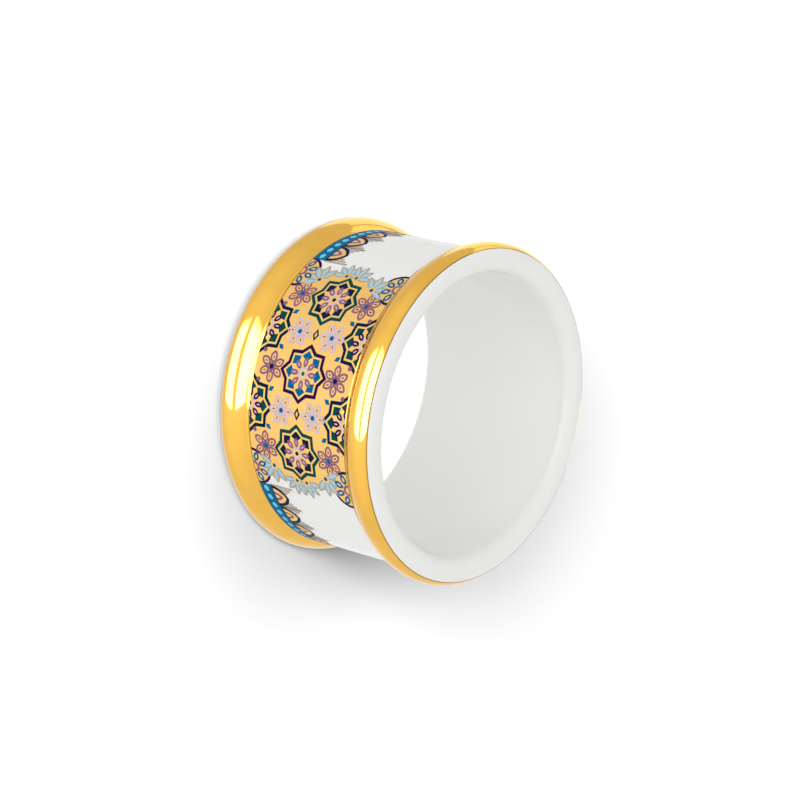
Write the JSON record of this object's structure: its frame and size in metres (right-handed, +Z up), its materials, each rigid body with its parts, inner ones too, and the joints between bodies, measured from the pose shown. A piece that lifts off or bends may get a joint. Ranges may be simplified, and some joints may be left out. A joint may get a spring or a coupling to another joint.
{
  "type": "napkin ring",
  "caption": "Short glazed porcelain ring with a round bead at each end, for holding a rolled napkin.",
  "frame": {"origin": "centre of the surface that the ring stands on, below its middle", "axes": "+Z up along the ring's axis, standing on one end"},
  "size_m": [0.05, 0.05, 0.0286],
  "materials": {
    "porcelain": "white glaze, with gilded beads and a printed enamel band"
  },
  "bodies": {
    "root": {"porcelain_ring": "porcelain"}
  },
  "joints": []
}
